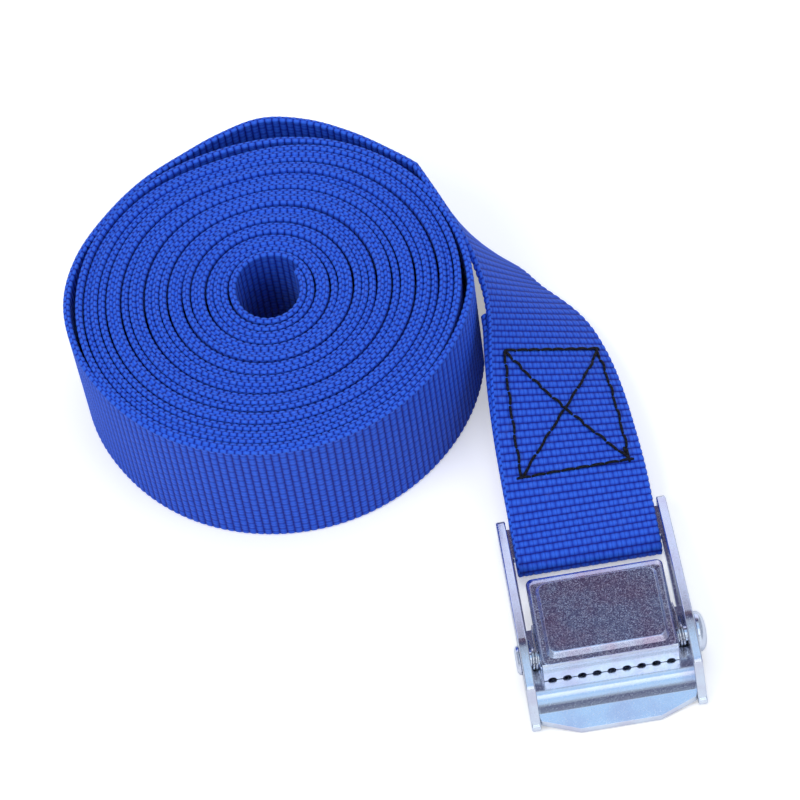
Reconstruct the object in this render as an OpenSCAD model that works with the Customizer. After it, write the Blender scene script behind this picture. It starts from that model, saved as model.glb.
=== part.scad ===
// Cam-buckle lashing strap: a flat webbing wound in a roll on its edge, whose sewn end twists
// flat and loops round the rear bar of a pressed-steel buckle with a sprung, toothed cam lever.

/* [Webbing] */
// Width of the webbing
web_w = 25; // [20:0.5:25.5]
// Thickness of the webbing
web_t = 1.3; // [1:0.1:1.5]
// Space between two layers of webbing
layer_gap = 0.15; // [0.1:0.05:0.3]

/* [Roll] */
// Radius of the hole in the middle of the roll
hole_r = 5.6; // [3:0.1:8]
// Tight turns in the roll
roll_turns = 21; // [10:1:24]
// Growth of the roll's radius with each turn
turn_pitch = 1.33; // [1.1:0.01:1.4]
// Side of the outer turn's middle line that faces the tail
roll_side = 20.53; // [14:0.01:20.6]
// Roll's middle, along the strap
roll_y = 22; // [10:0.1:40]

/* [Stitching] */
// Thickness of the sewing thread
thread_t = 0.5; // [0.3:0.1:0.8]
// Space from the webbing's edge to the stitched box
stitch_margin = 2.4; // [1.5:0.1:5]

/* [Buckle frame] */
// Thickness of the frame's plate
frame_t = 1.5; // [1:0.1:2]
// Thickness of the two cheeks
cheek_t = 1.6; // [1:0.1:2.5]
// Space between the webbing's edge and a cheek
cheek_gap = 0.65; // [0.4:0.05:2]
// Height of the frame plate's underside over the rest surface
frame_z = 1.8; // [1.7:0.1:3]
// Middle of the buckle, across the strap
buckle_x = 33; // [25:0.5:60]
// Rear end of the frame
rear_y = -21.3; // [-22:0.1:-20.5]
// Width of the bar that the webbing loops round
bar_w = 6; // [4:0.1:6.5]
// Length of the slot in front of the bar
slot_len = 14.7; // [12:0.1:16]

/* [Cam lever] */
// Thickness of the lever's plate
lever_t = 1; // [0.8:0.1:1.2]
// Room for the spring between the lever and a cheek
lever_gap = 1.45; // [1.4:0.05:2]
// Height that the thumb pad stands proud
pad_h = 0.8; // [0.4:0.1:1.5]
// Number of notches between the teeth
notches = 9; // [5:1:10]
// Spacing of the notches
notch_pitch = 2.5; // [2:0.1:2.55]
// Radius of a notch
notch_r = 0.7; // [0.4:0.05:0.9]
// Gap between the closed teeth and the frame plate
tooth_gap = 0.25; // [0.1:0.05:0.6]

/* [Rivet and spring] */
// Radius of the rivet's shank
pin_r = 1.3; // [1.1:0.1:1.5]
// Radial clearance of the lever on the rivet
pin_clear = 0.06; // [0.02:0.01:0.1]
// Radius of the rivet's head
head_r = 3.5; // [2.8:0.1:4]
// Height of the rivet's head
head_h = 2; // [1:0.1:2.5]
// Radius of the rivet's peened end
peen_r = 2.9; // [2.3:0.1:3.4]
// Height of the rivet's peened end
peen_h = 1; // [0.5:0.1:1.5]
// Thickness of the spring wire
wire_d = 0.5; // [0.4:0.02:0.52]

/* [Hidden] */
$fn = 72;

webbing_blue = [0.1, 0.2, 0.85];
zinc = [0.78, 0.82, 0.9];
thread_black = [0.05, 0.05, 0.06];

// Moves everything so that the origin is under the middle of the whole strap.
shift_x = 0.17;
shift_y = -0.09;

// Roll: the tight turns end at roll_r, and the loose outer turn runs outside them.
roll_r = hole_r + roll_turns * turn_pitch;
outer_r = roll_r + layer_gap + web_t / 2;
roll_x = roll_side - outer_r;

// Buckle, in a frame whose X is measured from the buckle's middle.
inner_x = web_w / 2 + cheek_gap;
outer_x = inner_x + cheek_t;
top_z = frame_z + frame_t;
bar_y = rear_y - bar_w;
cheek_rear = rear_y + 1.2;
slot_y = bar_y - slot_len;
pin_y = rear_y - 27.7;
pin_z = top_z + 2.4;
bend_y = pin_y - 3.2;
crease_y = pin_y - 5.5;
lip_y = pin_y - 9;
front_y = pin_y - 12.3;
ear_r = pin_z - top_z - 0.2;
ear_t = 1.1;
plate_z = pin_z + pin_r + 0.1;
plate_top = plate_z + lever_t;
plate_x = inner_x - lever_gap;
ear_x = plate_x;
plate_rear = bar_y - 9.1;
roll_down_r = 2;
pad_x = plate_x - 1.6;
tooth_z = top_z + tooth_gap;

// Outer turn: how far each stretch stands off its place against the roll, by angle in degrees,
// going round clockwise. Each row is [angle, extra radius].
OUTER = [[-8, 0.8], [-40, 0], [-80, 0], [-120, 0], [-150, 0.1], [-172, 0.9], [-188, 1.5], [-203, 1.2],
         [-220, 0.5], [-237, 0.7], [-250, 1.2], [-262, 2.8], [-274, 4.6], [-286, 4], [-298, 2.8],
         [-311, 2], [-322, 2.2]];

// Tail: rows of [x, y, z, lean, turn]. The first three place the middle of the strap. Lean is the
// angle of its width over the horizontal, and turn is the heading of its width.
TAIL = [[24.5, 33, 12.7, 62, 48], [28.6, 24.6, 11.4, 51, 42], [31.5, 17.5, 10.3, 40, 26],
        [32.5, 10.5, 9.8, 31, 14], [32.8, 2, 9.2, 21, 7], [32.9, -8, 7.9, 11, 3], [33, -15, 6.4, 4, 0]];

// Loop: rows of [y, z] round the bar, measured from the bar's rear top edge. Its lower leg runs
// under_z below that edge.
under_z = frame_t + web_t / 2 + 0.47;
LOOP = [[0.3, 1.6], [-3.4, 1.35], [-bar_w - 0.3, 1.25], [-bar_w - 2, 0.6], [-bar_w - 2.7, -0.6],
        [-bar_w - 2, 0.72 - under_z], [-bar_w, 0.07 - under_z], [-bar_w / 2, -under_z],
        [0.8, 0.32 - under_z], [4, 1.92 - under_z]];

function up_to(n) = [for (i = [0:n]) i];
function unit(v) = v / norm(v);
// Catmull-Rom curve through a list of rows, with k steps between two rows.
function spline_at(p, i, t) =
  let (a = p[max(i - 1, 0)], b = p[i], c = p[min(i + 1, len(p) - 1)], d = p[min(i + 2, len(p) - 1)])
  0.5 * (2 * b + (c - a) * t + (2 * a - 5 * b + 4 * c - d) * t * t + (3 * b - a - 3 * c + d) * t * t * t);
function spline(p, k) = concat(
  [for (i = [0:len(p) - 2]) for (j = [0:k - 1]) spline_at(p, i, j / k)], [p[len(p) - 1]]);

// A strap is a list of rows [x, y, z, lean, turn]. These give its middle, the direction of its
// width, its travel and the normal of its outer face at row i.
function middle(p, i) = [p[i][0], p[i][1], p[i][2]];
function width_dir(r) = [-cos(r[3]) * cos(r[4]), -cos(r[3]) * sin(r[4]), sin(r[3])];
function travel(p, i) = unit(middle(p, min(i + 1, len(p) - 1)) - middle(p, max(i - 1, 0)));
function face_dir(p, i) = unit(cross(width_dir(p[i]), travel(p, i)));
function ring(p, i, w, t) =
  let (m = middle(p, i), u = width_dir(p[i]) * w / 2, n = face_dir(p, i) * t / 2)
  [m - u - n, m + u - n, m + u + n, m - u + n];
function lowered(p, i, d) =
  let (m = middle(p, i) - face_dir(p, i) * d) [m[0], m[1], m[2], p[i][3], p[i][4]];

// Rows of the whole free strap. The sewn lap repeats the tail one layer lower.
function outer_row(a) =
  let (r = outer_r + a[1]) [roll_x + r * cos(a[0]), roll_y + r * sin(a[0]), web_w / 2, 90, 50];
outer_rows = [for (a = spline(OUTER, 5)) outer_row(a)];
corner_row = outer_rows[len(outer_rows) - 1];
loop_row_list = [for (q = LOOP) [buckle_x, rear_y + q[0], top_z + q[1], 0, 0]];
tail_rows = spline(concat([corner_row], TAIL, [loop_row_list[0]]), 5);
layer = web_t + layer_gap;
lap_last = 14;
lap_first = len(tail_rows) - 8;
lap_rows = [for (i = [lap_first:-1:lap_last]) lowered(tail_rows, i, layer)];
turn_rows = spline(concat(loop_row_list, [lap_rows[0], lap_rows[1]]), 3);
loop_rows = concat([for (i = [0:3 * len(LOOP)]) turn_rows[i]], [for (i = [1:len(lap_rows) - 1]) lap_rows[i]]);

// Closed box-section strap through rows of points. A lap that runs back under another strap
// is flipped, so that both split their twisted faces along the same lines.
module strap(p, w, t, flip = false) {
  n = len(p);
  pts = [for (i = up_to(n - 1)) for (q = ring(p, i, w, t)) q];
  sides = [for (i = up_to(n - 2)) for (k = up_to(3))
    [4 * i + k, 4 * i + (k + 1) % 4, 4 * i + 4 + (k + 1) % 4, 4 * i + 4 + k]];
  split = [for (q = sides) for (h = flip ? [[q[0], q[3], q[1]], [q[1], q[3], q[2]]]
                                         : [[q[0], q[2], q[1]], [q[0], q[3], q[2]]]) h];
  ends = [[0, 1, 2], [0, 2, 3], [4 * n - 4, 4 * n - 2, 4 * n - 3], [4 * n - 4, 4 * n - 1, 4 * n - 2]];
  polyhedron(points = pts, faces = concat(split, ends));
}

// Closed round tube through points, with s sides. Each ring lies across the path.
module tube(p, r, s) {
  n = len(p);
  dirs = [for (i = up_to(n - 1)) unit(p[min(i + 1, n - 1)] - p[max(i - 1, 0)])];
  side = [for (d = dirs) unit(cross(d, [0.31, 0.47, 0.83]))];
  pts = [for (i = up_to(n - 1)) for (k = up_to(s - 1))
    p[i] + r * (cos(360 * k / s) * side[i] + sin(360 * k / s) * cross(dirs[i], side[i]))];
  walls = [for (i = up_to(n - 2)) for (k = up_to(s - 1)) let (j = (k + 1) % s)
    for (h = [[s * i + k, s * i + s + j, s * i + j], [s * i + k, s * i + s + k, s * i + s + j]]) h];
  caps = [[for (k = up_to(s - 1)) k], [for (k = up_to(s - 1)) s * n - 1 - k]];
  polyhedron(points = pts, faces = concat(walls, caps));
}

// Sets a piece in place over the origin.
module placed() {
  translate([shift_x, shift_y, 0]) children();
}

// Extrudes a profile of [y, z] points across the buckle from x0 to x1.
module across(x0, x1) {
  translate([x0, 0, 0]) rotate([90, 0, 90]) linear_extrude(x1 - x0) children();
}

module webbing_roll() {
  color(webbing_blue) placed() translate([roll_x, roll_y, 0]) rotate_extrude($fn = 120)
    translate([hole_r, 0]) square([roll_r - hole_r, web_w]);
}

module webbing_outer_turn() {
  color(webbing_blue) placed() strap(outer_rows, web_w, web_t);
}

module webbing_tail() {
  color(webbing_blue) placed() strap(tail_rows, web_w, web_t);
}

module webbing_loop() {
  color(webbing_blue) placed() strap(loop_rows, web_w, web_t, true);
}

// Thread lies on the tail's upper face: a box with a cross. A point is [row, place across].
stitch_first = 19;
stitch_last = len(tail_rows) - 9;
stitch_half = web_w / 2 - stitch_margin;
function thread_row(s, v) =
  let (i = min(floor(s), len(tail_rows) - 2), f = s - i,
       m = middle(tail_rows, i) * (1 - f) + middle(tail_rows, i + 1) * f,
       r = tail_rows[i] * (1 - f) + tail_rows[i + 1] * f,
       n = unit(face_dir(tail_rows, i) * (1 - f) + face_dir(tail_rows, i + 1) * f))
  m + width_dir(r) * v + n * (web_t / 2 + 0.02 + thread_t / 2);
function thread_line(a, b, k) = [for (j = [0:k]) thread_row(
  a[0] + (b[0] - a[0]) * j / k, a[1] + (b[1] - a[1]) * j / k)];

module box_stitch() {
  over = [0.9, 0.62];
  color(thread_black) placed() union() {
    for (s = [stitch_first, stitch_last])
      tube(thread_line([s, stitch_half + over[0]], [s, -stitch_half - over[0]], 8), thread_t / 2, 6);
    for (v = [-stitch_half, stitch_half])
      tube(thread_line([stitch_first - over[1], v], [stitch_last + over[1], v], 14), thread_t / 2, 6);
    for (k = [-1, 1])
      tube(thread_line([stitch_first - 0.3, k * (stitch_half + 0.4)],
        [stitch_last + 0.25, -k * (stitch_half + 0.35)], 14), thread_t / 2, 6);
  }
}

// Side view of the frame's plate: flat over bar and anvil, dropping to a lip that rests.
module plate_profile() {
  polygon([[rear_y, frame_z], [rear_y, top_z], [crease_y, top_z], [crease_y - 1.1, top_z - 0.35],
    [crease_y - 2.2, top_z - 0.8], [lip_y, top_z - 1], [front_y, frame_t * 0.7], [front_y, 0],
    [front_y + 1, 0], [lip_y, top_z - 1 - frame_t], [crease_y - 2.2, top_z - 0.8 - frame_t],
    [crease_y - 1.1, top_z - 0.35 - frame_t], [crease_y, frame_z]]);
}

module lip_plan() {
  polygon([[-outer_x, rear_y], [outer_x, rear_y], [outer_x, front_y + 2.2], [outer_x / 2, front_y],
    [-outer_x / 2, front_y], [-outer_x, front_y + 2.2]]);
}

module cheek_profile() {
  polygon([[cheek_rear, frame_z], [cheek_rear, top_z + 1], [cheek_rear - 0.8, top_z + 1.6],
    [rear_y - 9, pin_z + 1.1], [pin_y + 3, pin_z + 3.7], [pin_y, pin_z + 3.9],
    [pin_y - 7, pin_z + 2.8], [pin_y - 8, pin_z + 2.1], [front_y + 1.1, 1.9], [front_y + 0.8, 0.9],
    [front_y + 1.4, 0.3], [lip_y + 0.5, 0.3], [crease_y, frame_z]]);
}

module buckle_frame() {
  color(zinc) placed() translate([buckle_x, 0, 0]) difference() {
    union() {
      intersection() {
        across(-outer_x + 0.4, outer_x - 0.4) plate_profile();
        linear_extrude(20) lip_plan();
      }
      across(-outer_x, -inner_x) cheek_profile();
      across(inner_x, outer_x) cheek_profile();
    }
    translate([-web_w / 2 - 0.3, slot_y, 0]) cube([web_w + 0.6, slot_len, 10]);
    translate([-outer_x - 1, pin_y, pin_z]) rotate([0, 90, 0])
      cylinder(r = pin_r + 0.02, h = 2 * outer_x + 2);
  }
}

// Rounded rectangle from x -x1 to x1 and from y0 to y1, with corner radius r.
module pad_plan(x1, y0, y1, r) {
  union() {
    translate([-x1 + r, y0]) square([2 * (x1 - r), y1 - y0]);
    translate([-x1, y0 + r]) square([2 * x1, y1 - y0 - 2 * r]);
    for (x = [-x1 + r, x1 - r]) for (y = [y0 + r, y1 - r]) translate([x, y]) circle(r);
  }
}

module cam_lever() {
  flat_rear = plate_rear - roll_down_r + 2;
  color(zinc) placed() translate([buckle_x, 0, 0]) difference() {
    union() {
      translate([-plate_x, bend_y, plate_z]) cube([2 * plate_x, flat_rear - bend_y, lever_t]);
      translate([0, 0, plate_top]) linear_extrude(pad_h)
        pad_plan(pad_x, bend_y + 1.5, flat_rear - 0.3, 1.2);
      intersection() {
        translate([-plate_x, flat_rear, plate_top - roll_down_r]) rotate([0, 90, 0]) difference() {
          cylinder(r = roll_down_r, h = 2 * plate_x);
          translate([0, 0, -1]) cylinder(r = roll_down_r - lever_t, h = 2 * plate_x + 2);
        }
        translate([-plate_x, flat_rear, plate_top - roll_down_r])
          cube([2 * plate_x, roll_down_r, roll_down_r]);
      }
      across(-plate_x + 0.8, plate_x - 0.8) polygon([[bend_y, plate_top], [bend_y + 1.1, plate_top],
        [bend_y + 1.1, tooth_z], [bend_y, tooth_z]]);
      for (x = [-ear_x, ear_x - ear_t]) translate([x, pin_y, pin_z]) union() {
        rotate([0, 90, 0]) cylinder(r = ear_r, h = ear_t);
        translate([0, -ear_r, 0]) cube([ear_t, 2 * ear_r, plate_z - pin_z + 0.1]);
      }
    }
    translate([-ear_x - 1, pin_y, pin_z]) rotate([0, 90, 0])
      cylinder(r = pin_r + pin_clear, h = 2 * ear_x + 2);
    for (k = [0:notches - 1]) translate([(k - (notches - 1) / 2) * notch_pitch, bend_y - 1, tooth_z])
      rotate([-90, 0, 0]) cylinder(r = notch_r, h = 5, $fn = 32);
  }
}

module pivot_rivet() {
  color(zinc) placed() translate([buckle_x, pin_y, pin_z]) rotate([0, 90, 0]) rotate_extrude()
    polygon([[0, -outer_x - peen_h], [peen_r * 0.7, -outer_x - peen_h], [peen_r, -outer_x - peen_h * 0.4],
      [peen_r, -outer_x - 0.01], [pin_r, -outer_x - 0.01], [pin_r, outer_x + 0.01], [head_r, outer_x + 0.01],
      [head_r, outer_x + head_h * 0.35], [head_r * 0.85, outer_x + head_h * 0.75],
      [head_r * 0.5, outer_x + head_h], [0, outer_x + head_h]]);
}

// Wire of the right half: frame leg, one and a half turns round the rivet, and half the bridge.
coil_r = pin_r + 0.12 + wire_d / 2;
coil_pitch = wire_d + 0.03;
coil_x = ear_x + 0.08 + wire_d / 2;
coil_turns = 1.5;
function coil_at(f) = [coil_x + coil_pitch * (coil_turns - f), pin_y - coil_r * sin(360 * f),
                       pin_z - coil_r * cos(360 * f)];
bridge_z = plate_z - wire_d / 2 - 0.05;
bridge_y = pin_y + 5.8;
half_wire = concat(
  [[coil_x + coil_pitch * coil_turns, pin_y + 4.8, top_z + wire_d / 2 + 0.05]],
  [for (j = [0:24]) coil_at(coil_turns * j / 24)],
  [[coil_x, pin_y + 3.6, bridge_z + 0.05], [coil_x - 0.3, bridge_y - 0.3, bridge_z],
   [coil_x - 1.2, bridge_y, bridge_z], [0, bridge_y, bridge_z]]);

module return_spring() {
  count = len(half_wire);
  left = [for (j = [count - 2:-1:0]) [-half_wire[j][0], half_wire[j][1], half_wire[j][2]]];
  color(zinc) placed() translate([buckle_x, 0, 0]) tube(concat(half_wire, left), wire_d / 2, 8);
}

webbing_roll();
webbing_outer_turn();
webbing_tail();
webbing_loop();
box_stitch();
buckle_frame();
cam_lever();
pivot_rivet();
return_spring();
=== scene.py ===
"""Looks of a coiled cam-buckle lashing strap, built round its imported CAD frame.

Every length below is in millimetres in the part's own frame, and becomes metres when a mesh is
made. The strap is one ribbon: a spiral, a loose outer turn, a twisting tail and a loop round the
buckle's rear bar, whose end runs back under the tail. The buckle is pressed steel.
"""

import logging
import math
from dataclasses import dataclass
from enum import Enum

import bpy
import numpy as np
from mathutils import Matrix, Vector


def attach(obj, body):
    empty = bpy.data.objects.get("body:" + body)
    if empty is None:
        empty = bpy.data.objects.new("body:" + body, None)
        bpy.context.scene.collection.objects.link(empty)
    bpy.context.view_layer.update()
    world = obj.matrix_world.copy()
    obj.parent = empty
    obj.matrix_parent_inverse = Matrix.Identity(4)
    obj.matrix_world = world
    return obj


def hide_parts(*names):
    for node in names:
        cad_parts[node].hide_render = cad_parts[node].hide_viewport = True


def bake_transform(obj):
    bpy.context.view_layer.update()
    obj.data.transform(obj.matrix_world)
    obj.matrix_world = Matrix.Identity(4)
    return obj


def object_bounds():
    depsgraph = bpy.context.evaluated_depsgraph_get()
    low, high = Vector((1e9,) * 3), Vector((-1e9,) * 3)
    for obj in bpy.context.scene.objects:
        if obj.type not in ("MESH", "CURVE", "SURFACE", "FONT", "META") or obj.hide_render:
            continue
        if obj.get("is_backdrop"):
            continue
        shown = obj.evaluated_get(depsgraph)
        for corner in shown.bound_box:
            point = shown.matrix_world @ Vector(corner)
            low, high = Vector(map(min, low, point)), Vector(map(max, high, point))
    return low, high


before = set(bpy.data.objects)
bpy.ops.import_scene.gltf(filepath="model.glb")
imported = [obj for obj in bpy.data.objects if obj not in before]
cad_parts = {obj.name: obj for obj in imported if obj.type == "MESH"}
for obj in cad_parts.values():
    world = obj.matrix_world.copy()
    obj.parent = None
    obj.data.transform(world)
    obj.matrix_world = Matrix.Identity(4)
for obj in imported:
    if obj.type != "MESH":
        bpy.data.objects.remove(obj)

LOG = logging.getLogger("strap")
MM = 0.001

# Sizes shared with the construction model.
SHIFT = np.array([0.17, -0.09, 0.0])
WEB_W = 25.0
WEB_T = 1.3
CENTRE = np.array([-13.8, 22.0])
HOLE_R = 5.6
TURN_PITCH = 1.33
OUTER_R = 34.33
BUCKLE_X = 33.0
REAR_Y = -21.3
TOP_Z = 3.3
PIN_Y = -49.0
PIN_Z = 5.7
PLATE_TOP = 8.1
RIB = 1.33
BEAD = 0.82
LAYER = 1.45


class Body(str, Enum):
    """Rigid bodies of the motion model that a piece can ride on."""

    WEBBING = "webbing"
    FRAME = "buckle_frame"
    LEVER = "cam_lever"


class Slot(str, Enum):
    """Material slots of the part's record."""

    WEBBING = "webbing_blue"
    THREAD = "thread_black"
    ZINC = "zinc_plate"
    WIRE = "spring_wire"


# ---------------------------------------------------------------- shader helpers


class Nodes:
    """Short way to add and join nodes in one tree."""

    def __init__(self, tree: bpy.types.NodeTree) -> None:
        """Args: tree: the node tree that the nodes go in."""
        self.tree = tree

    def add(self, kind: str, **settings) -> bpy.types.Node:
        """Adds one node.

        Args: kind: the node's type name. settings: attributes to set on it.
        Returns: the node.
        """
        node = self.tree.nodes.new(kind)
        for key, value in settings.items():
            setattr(node, key, value)
        return node

    def put(self, value, socket: bpy.types.NodeSocket) -> None:
        """Joins a socket to another, or sets it to a constant.

        Args: value: an output socket, number or tuple. socket: the input that takes it.
        """
        if isinstance(value, bpy.types.NodeSocket):
            self.tree.links.new(value, socket)
        else:
            socket.default_value = value

    def math(self, operation: str, a, b=0.0, clamp: bool = False):
        """Args: operation: a Math node's operation. a, b: its inputs. Returns: its output."""
        node = self.add("ShaderNodeMath", operation=operation, use_clamp=clamp)
        self.put(a, node.inputs[0])
        self.put(b, node.inputs[1])
        return node.outputs[0]

    def mix(self, factor, a, b):
        """Args: factor: 0 gives a, and 1 gives b. Returns: the mixed colour."""
        node = self.add("ShaderNodeMix", data_type="RGBA")
        self.put(factor, node.inputs[0])
        self.put(a, node.inputs[6])
        self.put(b, node.inputs[7])
        return node.outputs[2]

    def scale(self, vector, factors):
        """Args: vector: a vector output. factors: three numbers. Returns: their product."""
        node = self.add("ShaderNodeVectorMath", operation="MULTIPLY")
        self.put(vector, node.inputs[0])
        self.put(factors, node.inputs[1])
        return node.outputs[0]

    def noise(self, vector, scale: float, detail: float = 2.0, rough: float = 0.5):
        """Args: vector: where it is read. scale, detail, rough: its settings. Returns: 0 to 1."""
        node = self.add("ShaderNodeTexNoise")
        self.put(vector, node.inputs["Vector"])
        self.put(scale, node.inputs["Scale"])
        self.put(detail, node.inputs["Detail"])
        self.put(rough, node.inputs["Roughness"])
        return node.outputs[0]

    def ramp(self, value, low: float, high: float):
        """Args: value: an output. low, high: where it starts and ends. Returns: 0 to 1, smooth."""
        node = self.add("ShaderNodeMapRange", interpolation_type="SMOOTHSTEP")
        self.put(value, node.inputs[0])
        self.put(low, node.inputs[1])
        self.put(high, node.inputs[2])
        return node.outputs[0]


def new_group(name: str, inputs: dict, outputs: dict) -> tuple:
    """Starts a shared shader group.

    Args: name: the group's name. inputs: socket name to (type, default). outputs: name to type.
    Returns: the group, its Nodes helper, its input sockets and its output node.
    """
    group = bpy.data.node_groups.new(name, "ShaderNodeTree")
    for key, (kind, default) in inputs.items():
        socket = group.interface.new_socket(key, in_out="INPUT", socket_type=kind)
        socket.default_value = default
    for key, kind in outputs.items():
        group.interface.new_socket(key, in_out="OUTPUT", socket_type=kind)
    kit = Nodes(group)
    return group, kit, kit.add("NodeGroupInput").outputs, kit.add("NodeGroupOutput")


class Shared:
    """Shader groups that several finishes use. Each is built once."""

    def __init__(self) -> None:
        """Builds the groups."""
        self.weave = self._weave()
        self.grain = self._grain()
        self.edge_highlight = self._edge_highlight()
        self.dust = self._dust()

    def _weave(self) -> bpy.types.NodeTree:
        """Ribs across the webbing with beads along each rib, every second bead taller.

        Returns: a group whose Height is the product in relief, for f the place in a rib and g the
        place in a bead. The selvedges have two staggered rows of beads. Slow
        noise makes it uneven. Fibre is fine yarn along the strap.
        """
        group, kit, given, out = new_group(
            "webbing_weave", {}, {"Height": "NodeSocketFloat", "Fibre": "NodeSocketFloat"}
        )
        uv = kit.add("ShaderNodeUVMap", uv_map="strip").outputs[0]
        split = kit.add("ShaderNodeSeparateXYZ")
        kit.put(uv, split.inputs[0])
        reach = kit.math("ABSOLUTE", split.outputs[1])
        rim = kit.math("GREATER_THAN", reach, 12.06)
        stagger = kit.math("MULTIPLY", kit.math("GREATER_THAN", reach, 12.6), 0.5)
        groove = kit.math("MULTIPLY", kit.math("ABSOLUTE", kit.math("SUBTRACT", reach, 12.6)), 6.0, clamp=True)
        plump = kit.math("MULTIPLY_ADD", kit.math("POWER", groove, 0.6), 0.5)
        plump.node.inputs[2].default_value = 0.5
        ribs = kit.math("ADD", kit.math("DIVIDE", split.outputs[0], RIB), stagger)
        place = kit.math("FRACT", ribs)
        hump = kit.math("MULTIPLY", kit.math("MULTIPLY", place, 4.0), kit.math("SUBTRACT", 1.0, place))
        ridge = kit.math("POWER", hump, 0.7)
        odd = kit.math("FRACT", kit.math("MULTIPLY", kit.math("FLOOR", ribs), 0.5))
        across = kit.math("FRACT", kit.math("DIVIDE", split.outputs[1], BEAD))
        wave = kit.math("ADD", kit.math("MULTIPLY", split.outputs[1], math.pi / BEAD),
                        kit.math("MULTIPLY", odd, 2 * math.pi))
        tall = kit.math("MULTIPLY_ADD", kit.math("COSINE", wave), 0.15)
        tall.node.inputs[2].default_value = 0.85
        swell = kit.math("MULTIPLY", kit.math("MULTIPLY", across, 4.0), kit.math("SUBTRACT", 1.0, across))
        round_top = kit.math("MULTIPLY_ADD", kit.math("POWER", swell, 0.6), 0.55)
        round_top.node.inputs[2].default_value = 0.45
        bead = kit.math("MULTIPLY", round_top, tall)
        on_rim = kit.math("MULTIPLY", plump, rim)
        on_face = kit.math("MULTIPLY", bead, kit.math("SUBTRACT", 1.0, rim))
        patchy = kit.math("MULTIPLY_ADD", kit.noise(kit.scale(uv, (0.9, 1.3, 1.0)), 1.0, 2.0), 0.5)
        patchy.node.inputs[2].default_value = 0.72
        both = kit.math("MULTIPLY", kit.math("ADD", on_rim, on_face), patchy)
        kit.put(kit.math("MULTIPLY", ridge, both), out.inputs["Height"])
        kit.put(kit.noise(kit.scale(uv, (1.1, 9.0, 1.0)), 1.0, 3.0, 0.6), out.inputs["Fibre"])
        return group

    def _grain(self) -> bpy.types.NodeTree:
        """Fine speckle and slow clouding of electroplated zinc.

        Returns: a group with Speckle and Cloud from 0 to 1 and a bumped Normal.
        """
        group, kit, given, out = new_group(
            "zinc_grain",
            {"Bump": ("NodeSocketFloat", 0.15)},
            {"Speckle": "NodeSocketFloat", "Cloud": "NodeSocketFloat", "Normal": "NodeSocketVector"},
        )
        where = kit.add("ShaderNodeTexCoord").outputs["Object"]
        fine = kit.noise(where, 6500.0, 3.0, 0.7)
        flecks = kit.add("ShaderNodeTexVoronoi", feature="F1")
        kit.put(where, flecks.inputs["Vector"])
        kit.put(5200.0, flecks.inputs["Scale"])
        cell = kit.add("ShaderNodeSeparateColor")
        kit.put(flecks.outputs["Color"], cell.inputs[0])
        mixed = kit.math("ADD", kit.math("MULTIPLY", fine, 0.6), kit.math("MULTIPLY", cell.outputs[0], 0.4))
        kit.put(kit.ramp(mixed, 0.5, 0.8), out.inputs["Speckle"])
        kit.put(kit.ramp(kit.noise(where, 170.0, 3.0, 0.55), 0.35, 0.7), out.inputs["Cloud"])
        bump = kit.add("ShaderNodeBump")
        kit.put(given["Bump"], bump.inputs["Strength"])
        kit.put(0.00004, bump.inputs["Distance"])
        kit.put(mixed, bump.inputs["Height"])
        kit.put(bump.outputs[0], out.inputs["Normal"])
        return group

    def _edge_highlight(self) -> bpy.types.NodeTree:
        """Painted highlight on sharp edges, from the surface's own pointiness broken up by noise.

        Returns: a group whose Mask is 1 on edges that get the painted highlight.
        """
        group, kit, given, out = new_group(
            "painted_edge_highlight", {"Amount": ("NodeSocketFloat", 1.0)}, {"Mask": "NodeSocketFloat"}
        )
        where = kit.add("ShaderNodeTexCoord").outputs["Object"]
        point = kit.add("ShaderNodeNewGeometry").outputs["Pointiness"]
        edge = kit.ramp(point, 0.51, 0.6)
        broken = kit.ramp(kit.noise(where, 900.0, 3.0, 0.6), 0.35, 0.65)
        kit.put(
            kit.math("MULTIPLY", kit.math("MULTIPLY", edge, broken), given["Amount"], clamp=True),
            out.inputs["Mask"],
        )
        return group

    def _dust(self) -> bpy.types.NodeTree:
        """Thin lint on what faces up.

        Returns: a group whose Mask is 1 where lint lies.
        """
        group, kit, given, out = new_group(
            "lint", {"Amount": ("NodeSocketFloat", 0.1)}, {"Mask": "NodeSocketFloat"}
        )
        where = kit.add("ShaderNodeTexCoord").outputs["Object"]
        split = kit.add("ShaderNodeSeparateXYZ")
        kit.put(kit.add("ShaderNodeNewGeometry").outputs["Normal"], split.inputs[0])
        up = kit.ramp(split.outputs[2], 0.2, 1.0)
        spots = kit.ramp(kit.noise(where, 420.0, 4.0, 0.65), 0.55, 0.85)
        kit.put(
            kit.math("MULTIPLY", kit.math("MULTIPLY", up, spots), given["Amount"], clamp=True),
            out.inputs["Mask"],
        )
        return group


def start_material(name: str) -> tuple:
    """Args: name: the material's name. Returns: the material, its Nodes helper and its shader."""
    material = bpy.data.materials.new(name)
    material.use_nodes = True
    kit = Nodes(material.node_tree)
    return material, kit, material.node_tree.nodes["Principled BSDF"]


def use_group(kit: Nodes, group: bpy.types.NodeTree, **values) -> bpy.types.NodeOutputs:
    """Args: kit: where it goes. group: which one. values: its inputs. Returns: its outputs."""
    node = kit.add("ShaderNodeGroup", node_tree=group)
    for key, value in values.items():
        kit.put(value, node.inputs[key])
    return node.outputs


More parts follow.
